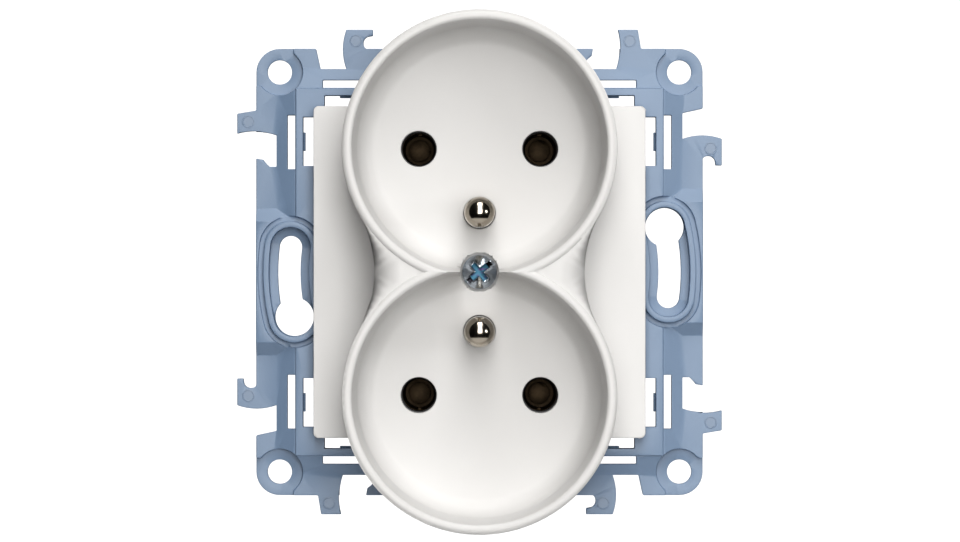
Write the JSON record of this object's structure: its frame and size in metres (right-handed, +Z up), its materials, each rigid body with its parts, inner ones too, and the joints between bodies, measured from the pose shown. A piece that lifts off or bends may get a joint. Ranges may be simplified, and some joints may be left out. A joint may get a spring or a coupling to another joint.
{
  "type": "duplex wall outlet",
  "caption": "Flush-mounted twin socket outlet with round wells and earth pins, on a plastic mounting bracket, with its contact mechanism and screw terminals.",
  "frame": {"origin": "centre of the bracket's back face, which lies on the wall", "axes": "+Z up, +X right, -Y out into the room, +Y into the wall box"},
  "size_m": [0.0764, 0.046, 0.081],
  "materials": {
    "cover": "glossy white moulded plastic",
    "bracket": "satin blue-grey moulded plastic",
    "base": "satin dark moulded plastic",
    "carrier": "satin grey moulded plastic",
    "nickel": "bright nickel plate",
    "zinc": "zinc plate, blue passivated",
    "brass": "bare stamped brass",
    "spring_steel": "oiled spring steel",
    "nylon": "natural nylon"
  },
  "bodies": {
    "module": {"mounting_bracket": "bracket", "mechanism_base": "base", "contact_carrier": "carrier", "earth_pin_upper": "nickel", "earth_pin_lower": "nickel", "earth_strap": "brass", "threaded_bush": "brass", "contact_rivets": "brass", "carrier_screws": "zinc", "live_busbar": "brass", "live_contact_upper": "brass", "live_spring_upper": "spring_steel", "live_contact_lower": "brass", "live_spring_lower": "spring_steel", "neutral_busbar": "brass", "neutral_contact_upper": "brass", "neutral_spring_upper": "spring_steel", "neutral_contact_lower": "brass", "neutral_spring_lower": "spring_steel"},
    "cover": {"socket_cover": "cover"},
    "cover_screw": {"cover_screw": "zinc", "screw_retainer": "nylon"},
    "live_clamp": {"clamp_plate_live": "zinc"},
    "live_screw": {"terminal_screw_live": "zinc"},
    "neutral_clamp": {"clamp_plate_neutral": "zinc"},
    "neutral_screw": {"terminal_screw_neutral": "zinc"},
    "earth_clamp": {"clamp_plate_earth": "zinc"},
    "earth_screw": {"terminal_screw_earth": "zinc"}
  },
  "joints": [
    {"name": "cover_lift", "type": "slide", "parent": "module", "child": "cover", "axis": [0, -1, 0], "range_m": [0, 0.008]},
    {"name": "cover_screw_turn", "type": "hinge", "parent": "cover", "child": "cover_screw", "pos_m": [0, 0, 0], "axis": [0, -1, 0], "range_deg": [0, 4800.1]},
    {"name": "live_clamp_travel", "type": "slide", "parent": "module", "child": "live_clamp", "axis": [-1, 0, 0], "range_m": [0, 0.0025]},
    {"name": "live_screw_turn", "type": "hinge", "parent": "live_clamp", "child": "live_screw", "pos_m": [-0.02, 0.0135, 0], "axis": [-1, 0, 0], "range_deg": [0, 1500.1]},
    {"name": "neutral_clamp_travel", "type": "slide", "parent": "module", "child": "neutral_clamp", "axis": [1, 0, 0], "range_m": [0, 0.0025]},
    {"name": "neutral_screw_turn", "type": "hinge", "parent": "neutral_clamp", "child": "neutral_screw", "pos_m": [0.02, 0.0135, 0], "axis": [1, 0, 0], "range_deg": [0, 1500.1]},
    {"name": "earth_clamp_travel", "type": "slide", "parent": "module", "child": "earth_clamp", "axis": [0, 0, -1], "range_m": [0, 0.0025]},
    {"name": "earth_screw_turn", "type": "hinge", "parent": "earth_clamp", "child": "earth_screw", "pos_m": [0, 0.0135, -0.02], "axis": [0, 0, -1], "range_deg": [0, 1500.1]}
  ],
  "couplings": [
    {"joint": "cover_screw_turn", "follows": "cover_lift", "rad_per_m": 10472},
    {"joint": "live_screw_turn", "follows": "live_clamp_travel", "rad_per_m": 10472},
    {"joint": "neutral_screw_turn", "follows": "neutral_clamp_travel", "rad_per_m": 10472},
    {"joint": "earth_screw_turn", "follows": "earth_clamp_travel", "rad_per_m": 10472}
  ]
}
